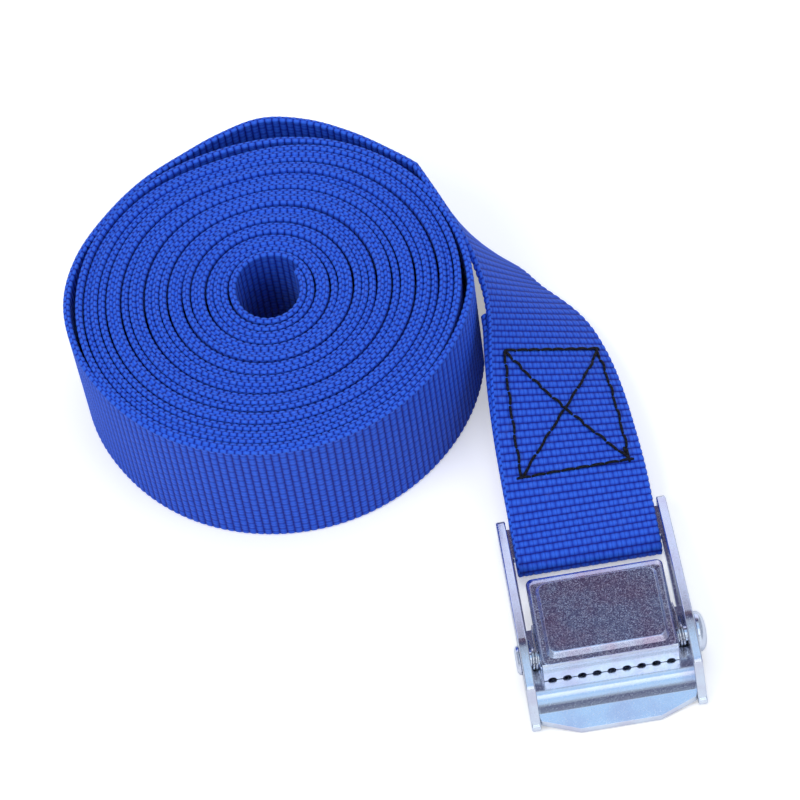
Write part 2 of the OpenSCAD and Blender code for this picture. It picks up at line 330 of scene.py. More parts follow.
@dataclass(frozen=True)
class WebbingFinish:
    """Royal-blue polyester webbing: bright beads with a painted highlight on their crowns, painted shade in the
    near-navy gaps, a soft sheen.
    """

    name: str
    painted_crown_highlight: tuple = (0.03, 0.15, 0.84, 1.0)
    flank: tuple = (0.003, 0.03, 0.42, 1.0)
    painted_gap_shade: tuple = (0.001, 0.003, 0.12, 1.0)
    bump: float = 0.25
    depth: float = 0.0001

    def build(self, shared: Shared) -> bpy.types.Material:
        """Args: shared: the shader groups. Returns: the material."""
        material, kit, shader = start_material(self.name)
        weave = use_group(kit, shared.weave)
        lint = use_group(kit, shared.dust, Amount=0.12)
        # Painted light by the weave's height: painted shade in the gaps, the flank colour between, and a painted
        # highlight on each bead's crown.
        low = kit.mix(kit.ramp(weave["Height"], 0.02, 0.4), self.painted_gap_shade, self.flank)
        full = kit.mix(kit.ramp(weave["Height"], 0.2, 0.95), low, self.painted_crown_highlight)
        yarn = kit.mix(kit.math("MULTIPLY", kit.ramp(weave["Fibre"], 0.35, 0.7), 0.3), full, self.flank)
        kit.put(kit.mix(lint["Mask"], yarn, (0.25, 0.35, 0.8, 1.0)), shader.inputs["Base Color"])
        kit.put(0.62, shader.inputs["Roughness"])
        kit.put(0.25, shader.inputs["Specular IOR Level"])
        kit.put(0.25, shader.inputs["Sheen Weight"])
        kit.put(0.4, shader.inputs["Sheen Roughness"])
        kit.put((0.25, 0.4, 1.0, 1.0), shader.inputs["Sheen Tint"])
        bump = kit.add("ShaderNodeBump")
        kit.put(self.bump, bump.inputs["Strength"])
        kit.put(self.depth, bump.inputs["Distance"])
        relief = kit.math("ADD", weave["Height"], kit.math("MULTIPLY", weave["Fibre"], 0.25))
        kit.put(relief, bump.inputs["Height"])
        kit.put(bump.outputs[0], shader.inputs["Normal"])
        return material


@dataclass(frozen=True)
class ZincFinish:
    """Bright blue-white zinc plate over pressed steel."""

    name: str
    light: tuple = (0.74, 0.82, 0.94, 1.0)
    tint: tuple = (0.62, 0.58, 0.74, 1.0)
    smooth: float = 0.16
    rough: float = 0.3
    bump: float = 0.12

    def build(self, shared: Shared) -> bpy.types.Material:
        """Args: shared: the shader groups. Returns: the material."""
        material, kit, shader = start_material(self.name)
        grain = use_group(kit, shared.grain, Bump=self.bump)
        edge_highlight = use_group(kit, shared.edge_highlight, Amount=0.7)
        lint = use_group(kit, shared.dust, Amount=0.08)
        base = kit.mix(kit.math("MULTIPLY", grain["Cloud"], 0.55), self.light, self.tint)
        speck = kit.mix(kit.math("MULTIPLY", grain["Speckle"], 0.35), base, (0.86, 0.88, 0.95, 1.0))
        # Painted highlight: sharp edges lightened towards near white.
        edge_lit = kit.mix(edge_highlight["Mask"], speck, (0.93, 0.95, 1.0, 1.0))
        kit.put(kit.mix(lint["Mask"], edge_lit, (0.6, 0.6, 0.62, 1.0)), shader.inputs["Base Color"])
        kit.put(1.0, shader.inputs["Metallic"])
        spread = kit.math("MULTIPLY_ADD", grain["Speckle"], self.rough - self.smooth)
        spread.node.inputs[2].default_value = self.smooth
        kit.put(spread, shader.inputs["Roughness"])
        kit.put(grain["Normal"], shader.inputs["Normal"])
        return material


@dataclass(frozen=True)
class ThreadFinish:
    """Black bonded thread with a faint twist."""

    name: str
    dark: tuple = (0.002, 0.002, 0.004, 1.0)
    light: tuple = (0.012, 0.012, 0.02, 1.0)

    def build(self, shared: Shared) -> bpy.types.Material:
        """Args: shared: the shader groups. Returns: the material."""
        material, kit, shader = start_material(self.name)
        uv = kit.add("ShaderNodeUVMap", uv_map="strip").outputs[0]
        split = kit.add("ShaderNodeSeparateXYZ")
        kit.put(uv, split.inputs[0])
        slant = kit.math("ADD", kit.math("MULTIPLY", split.outputs[0], 9.0), split.outputs[1])
        ply = kit.math("MULTIPLY_ADD", kit.math("SINE", slant), 0.5)
        ply.node.inputs[2].default_value = 0.5
        lint = use_group(kit, shared.dust, Amount=0.1)
        kit.put(
            kit.mix(lint["Mask"], kit.mix(ply, self.dark, self.light), (0.1, 0.1, 0.14, 1.0)),
            shader.inputs["Base Color"],
        )
        kit.put(0.65, shader.inputs["Roughness"])
        kit.put(0.2, shader.inputs["Specular IOR Level"])
        bump = kit.add("ShaderNodeBump")
        kit.put(0.5, bump.inputs["Strength"])
        kit.put(0.00006, bump.inputs["Distance"])
        kit.put(ply, bump.inputs["Height"])
        kit.put(bump.outputs[0], shader.inputs["Normal"])
        return material


# ---------------------------------------------------------------- mesh helpers


@dataclass
class Surface:
    """Points in millimetres, faces as index arrays, and a place on the strip for each point."""

    points: np.ndarray
    faces: list
    uv: np.ndarray = None

    def plus(self, other: "Surface") -> "Surface":
        """Args: other: a second surface. Returns: both in one, as separate shells."""
        shift = len(self.points)
        uv = None
        if self.uv is not None and other.uv is not None:
            uv = np.vstack([self.uv, other.uv])
        moved = [face + shift for face in other.faces]
        return Surface(np.vstack([self.points, other.points]), self.faces + moved, uv)

    def volume(self) -> float:
        """Returns: signed volume, the sum of a . (b x c) / 6 over a fan of each face."""
        total = 0.0
        for block in self.faces:
            for k in range(1, block.shape[1] - 1):
                a, b, c = (self.points[block[:, j]] for j in (0, k, k + 1))
                total += np.einsum("ij,ij->i", a, np.cross(b, c)).sum() / 6
        return float(total)

    def outward(self) -> "Surface":
        """Returns: the same surface with its faces turned to point out."""
        if self.volume() < 0:
            self.faces = [block[:, ::-1] for block in self.faces]
        return self


def make_piece(name: str, surface: Surface, material: bpy.types.Material, slot: Slot) -> bpy.types.Object:
    """Makes one visible piece.

    Args: name: its name. surface: its shape. material: its finish. slot: not used.
    Returns: the object, at the origin and untransformed.
    """
    mesh = bpy.data.meshes.new(name)
    faces = [row for block in surface.faces for row in block.tolist()]
    mesh.from_pydata(((surface.points + SHIFT) * MM).tolist(), [], faces)
    mesh.polygons.foreach_set("use_smooth", np.ones(len(faces), bool))
    if surface.uv is not None:
        layer = mesh.uv_layers.new(name="strip")
        index = np.empty(len(mesh.loops), np.int32)
        mesh.loops.foreach_get("vertex_index", index)
        layer.data.foreach_set("uv", surface.uv[index].astype(np.float32).ravel())
    mesh.materials.append(material)
    mesh.update()
    thing = bpy.data.objects.new(name, mesh)
    bpy.context.scene.collection.objects.link(thing)
    return thing


def soften(thing: bpy.types.Object, width: float, segments: int = 2) -> None:
    """Rounds the hard edges of a pressed piece.

    Args: thing: the piece. width: the rounding in millimetres. segments: steps in it.
    """
    bevel = thing.modifiers.new("edges", "BEVEL")
    bevel.width = width * MM
    bevel.segments = segments
    bevel.limit_method = "ANGLE"
    bevel.angle_limit = math.radians(28)
    bevel.harden_normals = True
    settle(thing)


def settle(thing: bpy.types.Object) -> None:
    """Args: thing: a pressed piece, whose large faces get to keep their own direction."""
    weigh = thing.modifiers.new("faces", "WEIGHTED_NORMAL")
    weigh.weight = 90


def report(thing: bpy.types.Object) -> None:
    """Args: thing: a finished piece, which is named in the log with its face count."""
    LOG.info("%s: %d faces", thing.name, len(thing.data.polygons))


def unit(rows: np.ndarray) -> np.ndarray:
    """Args: rows: N vectors. Returns: each over its own length."""
    return rows / np.maximum(np.linalg.norm(rows, axis=-1, keepdims=True), 1e-9)


def catmull(rows: np.ndarray, steps: int) -> np.ndarray:
    """Smooth curve through rows of numbers.

    Each stretch is 0.5 (2b + (c-a)t + (2a-5b+4c-d)t^2 + (3b-a-3c+d)t^3), with the end rows
    repeated. Args: rows: M rows. steps: points in each stretch. Returns: the curve's rows.
    """
    count = len(rows)
    index = np.arange(count - 1)
    a, b, c, d = (rows[np.clip(index + k, 0, count - 1)][:, None, :] for k in (-1, 0, 1, 2))
    t = (np.arange(steps) / steps)[None, :, None]
    curve = 0.5 * (2 * b + (c - a) * t + (2 * a - 5 * b + 4 * c - d) * t**2 + (3 * b - a - 3 * c + d) * t**3)
    return np.vstack([curve.reshape(-1, rows.shape[1]), rows[-1:]])


def loft(rings: np.ndarray, cap_first: bool = True, cap_last: bool = True) -> Surface:
    """Skin over closed rings.

    Args: rings: M rings of N points. cap_first, cap_last: close the ends with one face.
    Returns: the surface, facing out.
    """
    m, n = rings.shape[:2]
    i, k = np.meshgrid(np.arange(m - 1), np.arange(n), indexing="ij")
    j = (k + 1) % n
    quads = np.stack([i * n + k, i * n + j, (i + 1) * n + j, (i + 1) * n + k], -1).reshape(-1, 4)
    faces = [quads]
    if cap_first:
        faces.append(np.arange(n)[::-1][None, :])
    if cap_last:
        faces.append((np.arange(n) + (m - 1) * n)[None, :])
    return Surface(rings.reshape(-1, 3), faces).outward()


def tube(path: np.ndarray, radius: np.ndarray, sides: int = 8) -> Surface:
    """Round tube along a path, with a place on the strip in turns and millimetres.

    Each ring is p + r (cos a e1 + sin a e2), with e1 and e2 square to the path.
    Args: path: N points. radius: N radii. sides: points in a ring. Returns: the surface.
    """
    along = unit(np.gradient(path, axis=0))
    helper = np.where(np.abs(along[:, 2:3]) > 0.9, [[1.0, 0.0, 0.0]], [[0.0, 0.0, 1.0]])
    first = unit(np.cross(along, helper))
    second = np.cross(along, first)
    angle = np.arange(sides) / sides * 2 * np.pi
    ring = np.cos(angle)[None, :, None] * first[:, None] + np.sin(angle)[None, :, None] * second[:, None]
    made = loft(path[:, None] + radius[:, None, None] * ring)
    run = np.concatenate([[0.0], np.cumsum(np.linalg.norm(np.diff(path, axis=0), axis=1))])
    u, v = np.meshgrid(run, angle, indexing="ij")
    made.uv = np.stack([u.ravel(), v.ravel()], 1)
    return made


def prism(outline: np.ndarray, low: float, high: float) -> Surface:
    """Plate cut to an outline of (y, z) and standing from x = low to x = high.

    Args: outline: N points. low, high: its two faces. Returns: the surface.
    """
    ring = lambda x: np.column_stack([np.full(len(outline), x), outline])
    return loft(np.stack([ring(low), ring(high)]))


def sheet_metal(top: np.ndarray, under: np.ndarray, kept: np.ndarray) -> Surface:
    """Bent plate with cut-outs, from two grids of points.

    Args: top, under: M x N points on its two faces. kept: (M-1) x (N-1), True where there is metal.
    Returns: both faces and a wall wherever a kept cell meets an empty one.
    """
    m, n = top.shape[:2]
    size = m * n
    ids = np.arange(size).reshape(m, n)
    i, j = np.nonzero(kept)
    quad = np.stack([ids[i, j], ids[i, j + 1], ids[i + 1, j + 1], ids[i + 1, j]], 1)
    full = np.pad(kept, 1)
    walls = []
    for di, dj, a, b in ((-1, 0, 0, 1), (1, 0, 2, 3), (0, -1, 3, 0), (0, 1, 1, 2)):
        bare = ~full[i + 1 + di, j + 1 + dj]
        p, q = quad[bare, a], quad[bare, b]
        walls.append(np.stack([q, p, p + size, q + size], 1))
    faces = np.vstack([quad, quad[:, ::-1] + size] + walls)
    used, packed = np.unique(faces, return_inverse=True)
    points = np.vstack([top.reshape(-1, 3), under.reshape(-1, 3)])[used]
    return Surface(points, [packed.reshape(-1, 4)]).outward()


def rounded(half: float, y0: float, y1: float, radius: float, z: float, steps: int = 6) -> np.ndarray:
    """Ring of a rounded rectangle from x -half to half and y0 to y1.

    Args: half, y0, y1: its sides. radius: of its corners. z: its height. steps: per corner.
    Returns: the ring's points.
    """
    quarter = np.linspace(0, np.pi / 2, steps)
    corners = [(half - radius, y1 - radius, 0), (-half + radius, y1 - radius, 1),
               (-half + radius, y0 + radius, 2), (half - radius, y0 + radius, 3)]
    rows = [np.column_stack([cx + radius * np.cos(quarter + k * np.pi / 2),
                             cy + radius * np.sin(quarter + k * np.pi / 2),
                             np.full(steps, z)]) for cx, cy, k in corners]
    return np.vstack(rows)


# ---------------------------------------------------------------- webbing

# Loose outer turn: [angle, extra radius], in degrees and millimetres, going round clockwise.
OUTER = np.array([[-8, 0.8], [-40, 0], [-80, 0], [-120, 0], [-150, 0.1], [-172, 0.9], [-188, 1.5],
                  [-203, 1.2], [-220, 0.5], [-237, 0.7], [-250, 1.2], [-262, 2.8], [-274, 4.6],
                  [-286, 4], [-298, 2.8], [-311, 2], [-322, 2.2]], float)
# Tail: [x, y, z, lean of the width over the horizontal, heading of the width].
TAIL = np.array([[24.5, 33, 12.7, 62, 48], [28.6, 24.6, 11.4, 51, 42], [31.5, 17.5, 10.3, 40, 26],
                 [32.5, 10.5, 9.8, 31, 14], [32.8, 2, 9.2, 21, 7], [32.9, -8, 7.9, 11, 3],
                 [33, -15, 6.4, 4, 0]], float)
# Loop round the bar: [y, z] from the bar's rear top edge.
LOOP = np.array([[0.3, 1.6], [-3.4, 1.35], [-6.3, 1.25], [-8, 0.6], [-8.7, -0.6], [-8, -1.9],
                 [-6, -2.55], [-3, -2.62], [0.8, -2.3], [4, -0.7]], float)


@dataclass
class Ribbon:
    """A strap's middle line with the direction of its width and of its outer face."""

    middle: np.ndarray
    width: np.ndarray
    face: np.ndarray
    run: np.ndarray

    @classmethod
    def through(cls, middle: np.ndarray, width: np.ndarray) -> "Ribbon":
        """Args: middle: N points. width: N unit vectors. Returns: the ribbon through them.

        The outer face is width x travel, and run is the length so far.
        """
        travel = unit(np.gradient(middle, axis=0))
        face = unit(np.cross(width, travel))
        step = np.linalg.norm(np.diff(middle, axis=0), axis=1)
        return cls(middle, width, face, np.concatenate([[0.0], np.cumsum(step)]))

    def at(self, run: np.ndarray) -> tuple:
        """Args: run: lengths along it. Returns: middle, width and face there."""
        pick = lambda rows: np.stack([np.interp(run, self.run, rows[:, k]) for k in range(3)], -1)
        return pick(self.middle), unit(pick(self.width)), unit(pick(self.face))

    @property
    def length(self) -> float:
        """Returns: its whole length."""
        return float(self.run[-1])


def rows_width(rows: np.ndarray) -> np.ndarray:
    """Args: rows: [x, y, z, lean, heading] in degrees. Returns: the direction of the width."""
    lean, turn = np.radians(rows[:, 3]), np.radians(rows[:, 4])
    return np.column_stack([-np.cos(lean) * np.cos(turn), -np.cos(lean) * np.sin(turn), np.sin(lean)])


def polar(angle: np.ndarray, radius: np.ndarray) -> np.ndarray:
    """Args: angle in degrees, radius. Returns: points at mid height round the roll's middle."""
    a = np.radians(angle)
    return np.column_stack([CENTRE[0] + radius * np.cos(a), CENTRE[1] + radius * np.sin(a),
                            np.full(len(a), WEB_W / 2)])


def spiral_radius(angle: np.ndarray) -> np.ndarray:
    """Radius of the wound turns at a running angle that ends at -8 degrees.

    The plain spiral is R - pitch x turns to go. The hole is drawn in across and out along, by
    8% fading over 8 mm, and the outer turns sag in by 1.6 mm at the back.
    Args: angle: degrees, falling. Returns: radii.
    """
    plain = OUTER_R - TURN_PITCH * (angle + 8) / 360
    a = np.radians(angle)
    oval = 1 - 0.08 * np.cos(2 * a) * np.exp(-(plain - HOLE_R) / 8)
    back = (np.degrees(np.angle(np.exp(1j * (a - np.radians(100))))) / 26) ** 2
    sag = 1.6 * np.exp(-back) * np.clip((plain - 12) / 20, 0, 1) * np.clip((OUTER_R - plain) / 0.8, 0, 1)
    drift = 0.12 * np.sin(a * 0.37 + 1.0) * np.clip((OUTER_R - plain) / 4, 0, 1)
    return plain * oval - sag + drift


def free_ribbons() -> tuple:
    """Works out the whole strap.

    Returns: the wound spiral, the outer turn with the spiral's last 45 degrees, and the tail with
    its loop and lap, each as a Ribbon, end to end.
    """
    start = -8 + 360 * (OUTER_R - HOLE_R - WEB_T / 2) / TURN_PITCH
    angle = np.arange(start, 37, -0.75)
    angle = np.append(angle, 37.0)
    wound = polar(angle, spiral_radius(angle))
    up = lambda rows: np.tile([0.0, 0.0, 1.0], (len(rows), 1))
    lead = np.arange(37, -8, -0.75)
    outer = catmull(OUTER, 24)
    swell = OUTER[0, 1] * ((37 - lead) / 45) ** 2
    wrap = np.vstack([polar(lead, spiral_radius(lead) + swell), polar(outer[:, 0], OUTER_R + outer[:, 1])])
    corner = np.append(wrap[-1], [90, 50])
    first_loop = np.array([BUCKLE_X, REAR_Y + LOOP[0, 0], TOP_Z + LOOP[0, 1], 0, 0])
    tail = catmull(np.vstack([corner, TAIL, first_loop]), 30)
    loop = np.column_stack([np.full(len(LOOP), BUCKLE_X), REAR_Y + LOOP[:, 0], TOP_Z + LOOP[:, 1],
                            np.zeros(len(LOOP)), np.zeros(len(LOOP))])
    upper = Ribbon.through(tail[:, :3], rows_width(tail))
    lap = tail.copy()
    lap[:, :3] = upper.middle - upper.face * LAYER
    back = lap[int(len(lap) * 0.35):len(lap) - 48][::-6]
    turned = catmull(np.vstack([loop, back]), 20)
    whole = np.vstack([tail[:-1], turned])
    return (Ribbon.through(wound, up(wound)), Ribbon.through(wrap, up(wrap)),
            Ribbon.through(whole[:, :3], rows_width(whole)))


def relief(run: np.ndarray, across: np.ndarray) -> np.ndarray:
    """Height of the weave from 0 to 1.

    (4f(1-f))^0.7 (0.45 + 0.55 (4g(1-g))^0.6) (0.85 + 0.15 cos(pi (across / bead + odd))), for
    f = run / rib and g = across / bead, both less their whole part, and odd 1 on every second rib.
    Args: run, across: millimetres along and across. Returns: heights.
    """
    ribs = run / RIB
    f = ribs - np.floor(ribs)
    g = across / BEAD
    tall = 0.85 + 0.15 * np.cos(np.pi * (g + np.floor(ribs) % 2))
    g = g - np.floor(g)
    return (4 * f * (1 - f)) ** 0.7 * (0.45 + 0.55 * np.clip(4 * g * (1 - g), 0, 1) ** 0.6) * tall


def rib_stations(first: float, last: float) -> np.ndarray:
    """Args: first, last: where a strip starts and ends. Returns: four places in each rib."""
    ribs = np.arange(math.floor(first / RIB), math.ceil(last / RIB))
    places = (ribs[:, None] + np.array([0.02, 0.3, 0.7, 0.98])[None]).ravel() * RIB
    inside = places[(places > first + 0.01) & (places < last - 0.01)]
    return np.concatenate([[first], inside, [last]])


def woven_strip(ribbon: Ribbon, first: float, lift=None, fine: bool = True) -> Surface:
    """Closed strip of webbing with its weave standing out.

    A point is middle + width * across + face * off. On a face, off is 0.37 + 0.29 relief. Round
    a selvedge, across is 12.05 + 0.5 k cos p and off is 0.66 k sin p, where k = 0.68 + 0.32 hump
    and the hump moves by half a rib past the middle, which sets two staggered rows of beads.
    Args: ribbon: its line. first: the strip's running length at the start, so that ribs carry on
    from the piece before. lift: extra height of the upper selvedge by running length. fine: give
    the faces their weave, or leave them flat between the selvedges.
    Returns: the surface with its places on the strip.
    """
    stations = rib_stations(first, first + ribbon.length)
    middle, width, face = ribbon.at(stations - first)
    half = WEB_W / 2
    over = np.radians([68.0, 25.0, -25.0, -68.0])
    under = np.radians([-60.0, 0.0, 60.0]) if fine else np.radians([0.0])
    span = half - 0.5
    outer = np.linspace(-span, span, 3 * int(2 * span / BEAD) + 1) if fine else np.array([-span, span])
    inner = np.linspace(span, -span, int(2 * span / BEAD) + 1) if fine else np.array([span, -span])
    run = stations[:, None]
    if fine:
        high = 0.37 + 0.29 * relief(run, outer[None])
        low = -(0.37 + 0.29 * relief(run, inner[None]))
    else:
        high = np.full((len(stations), 2), 0.57)
        low = -high
    def rim(angles: np.ndarray, side: float) -> tuple:
        place = 12.6 + 0.5 * angles / np.radians(68.0) * side
        f = run / RIB + 0.5 * (place[None] > 12.6)
        f = f - np.floor(f)
        k = 0.68 + 0.32 * (4 * f * (1 - f)) ** 0.5
        rows = np.broadcast_to(side * place, k.shape)
        return side * (half - 0.45 + 0.5 * k * np.cos(angles)[None]), 0.66 * k * np.sin(angles)[None], rows
    top, bottom = rim(over, 1.0), rim(under, -1.0)
    spread = lambda columns, like: np.broadcast_to(columns, like.shape)
    across = np.hstack([spread(outer, high), top[0], spread(inner, low), bottom[0]])
    off = np.hstack([high, top[1], low, bottom[1]])
    place = np.hstack([spread(outer, high), top[2], spread(inner, low), bottom[2]])
    extra = np.zeros(len(stations)) if lift is None else lift(stations)
    across = across + np.where(across > 0, extra[:, None], 0.0)
    rings = middle[:, None] + width[:, None] * across[..., None] + face[:, None] * off[..., None]
    made = loft(rings)
    u = np.broadcast_to(run, across.shape)
    made.uv = np.stack([u.ravel(), place.ravel()], 1)
    return made


@dataclass
class Webbing:
    """The whole strap as three strips that meet end to end."""

    finishes: dict

    def build(self) -> list:
        """Returns: the wound roll, the outer turn and the tail with its loop."""
        wound, wrap, tail = free_ribbons()
        starts = np.cumsum([0.0, wound.length, wrap.length])
        fade = lambda run: np.clip((starts[1] + 150 - run) / 200, 0, 1)
        uneven = lambda run: (0.16 * np.sin(run / 23.0 + 2 * np.sin(run / 171.0))
                              + 0.2 * np.sin(run / 67.0 + 1.3) + 0.12) * fade(run)
        roll = make_piece("strap_roll", woven_strip(wound, starts[0], uneven, fine=False),
                          self.finishes["roll"], Slot.WEBBING)
        turn = make_piece("strap_outer_turn", woven_strip(wrap, starts[1], uneven),
                          self.finishes["strap"], Slot.WEBBING)
        end = make_piece("strap_tail", woven_strip(tail, starts[2]), self.finishes["strap"], Slot.WEBBING)
        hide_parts("webbing_roll")
        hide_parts("webbing_outer_turn")
        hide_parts("webbing_tail", "webbing_loop")
        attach(roll, Body.WEBBING.value)
        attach(turn, Body.WEBBING.value)
        bend_at_bar(end)
        for thing, ribbon in ((roll, wound), (turn, wrap), (end, tail)):
            LOG.info("%s is %.0f mm of webbing", thing.name, ribbon.length)
            report(thing)
        self.tail = tail
        self.tail_start = starts[2]
        return [roll, turn, end]


def bend_at_bar(thing: bpy.types.Object) -> None:
    """Args: thing: a soft piece, whose transform is baked into its mesh."""
    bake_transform(thing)


@dataclass
class BoxStitch:
    """Black lockstitch through tail and lap: a box with a cross, and a short second run."""

    finish: bpy.types.Material
    webbing: Webbing
    thread: float = 0.25
    pitch: float = 2.6

    def line(self, a: tuple, b: tuple) -> Surface:
        """One row of stitches over the tail's outer face.

        The thread's height over the weave is 0.62 |sin(pi q)|^0.5 - 0.3, q counting stitches, so
        that each stitch dives in at its ends.
        Args: a, b: (run from the tail's start, across) where the row starts and ends.
        Returns: the thread's surface.
        """
        length = math.hypot(b[0] - a[0], b[1] - a[1])
        count = max(2, round(length / self.pitch))
        q = np.linspace(0, count, count * 8 + 1)
        run = a[0] + (b[0] - a[0]) * q / count
        across = a[1] + (b[1] - a[1]) * q / count + 0.12 * np.sin(np.pi * q)
        middle, width, face = self.webbing.tail.at(run)
        rise = 0.62 * np.sqrt(np.abs(np.sin(np.pi * q))) - 0.3
        path = middle + width * across[:, None] + face * (0.55 + rise)[:, None]
        return tube(path, np.full(len(path), self.thread), 7)

    def build(self) -> bpy.types.Object:
        """Returns: the stitching."""
        near, far = 40.0, 64.2
        left, right = 9.6, -9.9
        rows = [((near, left), (near - 0.6, right - 0.9)), ((near, left), (far, left - 0.5)),
                ((far, left + 0.4), (far - 1.2, right - 0.8)), ((near - 0.9, right), (far - 0.8, right)),
                ((near, left), (far - 1.2, right)), ((near, right), (far, left - 0.5)),
                ((far - 3.6, right + 0.4), (far - 1.0, right + 0.4))]
        made = self.line(*rows[0])
        for row in rows[1:]:
            made = made.plus(self.line(*row))
        thing = make_piece("stitching", made, self.finish, Slot.THREAD)
        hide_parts("box_stitch")
        bend_at_bar(thing)
        report(thing)
        return thing


# ---------------------------------------------------------------- buckle


@dataclass
class BuckleFrame:
    """Pressed frame: plate with its slot, anvil and lip, and two cheeks."""

    finish: bpy.types.Material
    inner: float = 13.15
    cheek: float = 1.6
    plate: float = 1.5

    def plate_surface(self) -> Surface:
        """Bent plate, its underside one thickness below each top point.

        Returns: the plate, with the slot left open and the lip's corners cut back.
        """
        y = np.array([-21.3, -27.3, -42.0, -53.9, -54.5, -54.9, -55.4, -56.0, -56.8, -57.9, -58.15, -59.1, -60.2, -61.3])
        z = np.array([3.3, 3.3, 3.3, 3.3, 3.22, 3.02, 2.74, 2.54, 2.5, 2.5, 2.44, 2.1, 1.73, 1.32])
        half = np.interp(-y, [58.9, 59.0, 61.3], [13.3, 13.3, 6.7])
        under = np.clip(z - self.plate, 0.0, None)
        share = np.array([-1.0, -12.8 / 13.3, 12.8 / 13.3, 1.0])
        x = BUCKLE_X + half[:, None] * share[None]
        top = np.stack([x, np.broadcast_to(y[:, None], x.shape), np.broadcast_to(z[:, None], x.shape)], -1)
        low = np.stack([x, np.broadcast_to(y[:, None], x.shape), np.broadcast_to(under[:, None], x.shape)], -1)
        kept = np.ones((len(y) - 1, 3), bool)
        kept[1, 1] = False
        return sheet_metal(top, low, kept)

    def cheek_outline(self) -> np.ndarray:
        """Returns: the cheek's side view as (y, z), from its thin rear tip to its rounded front."""
        front = np.radians(np.linspace(100, 260, 7))
        nose = np.column_stack([-59.35 + 0.85 * np.cos(front), 1.15 + 0.85 * np.sin(front)])
        return np.vstack([[[-20.1, 1.8], [-20.1, 4.3], [-20.7, 4.9], [-24.0, 5.5], [-30.4, 6.9],
                           [-40.0, 8.4], [-47.0, 9.5], [-49.2, 9.65], [-55.4, 8.6], [-56.4, 8.0]],
                          nose, [[-57.6, 0.3], [-54.8, 1.2], [-53.6, 1.8]]])

    def build(self) -> list:
        """Returns: the frame's pieces."""
        plate = make_piece("frame_plate", self.plate_surface(), self.finish, Slot.ZINC)
        soften(plate, 0.22, 3)
        shape = self.cheek_outline()
        low, high = self.inner, self.inner + self.cheek
        cheeks = prism(shape, BUCKLE_X + low, BUCKLE_X + high).plus(
            prism(shape, BUCKLE_X - high, BUCKLE_X - low))
        sides = make_piece("frame_cheeks", cheeks, self.finish, Slot.ZINC)
        soften(sides, 0.28, 3)
        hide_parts("buckle_frame")
        for thing in (plate, sides):
            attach(thing, Body.FRAME.value)
            report(thing)
        return [plate, sides]


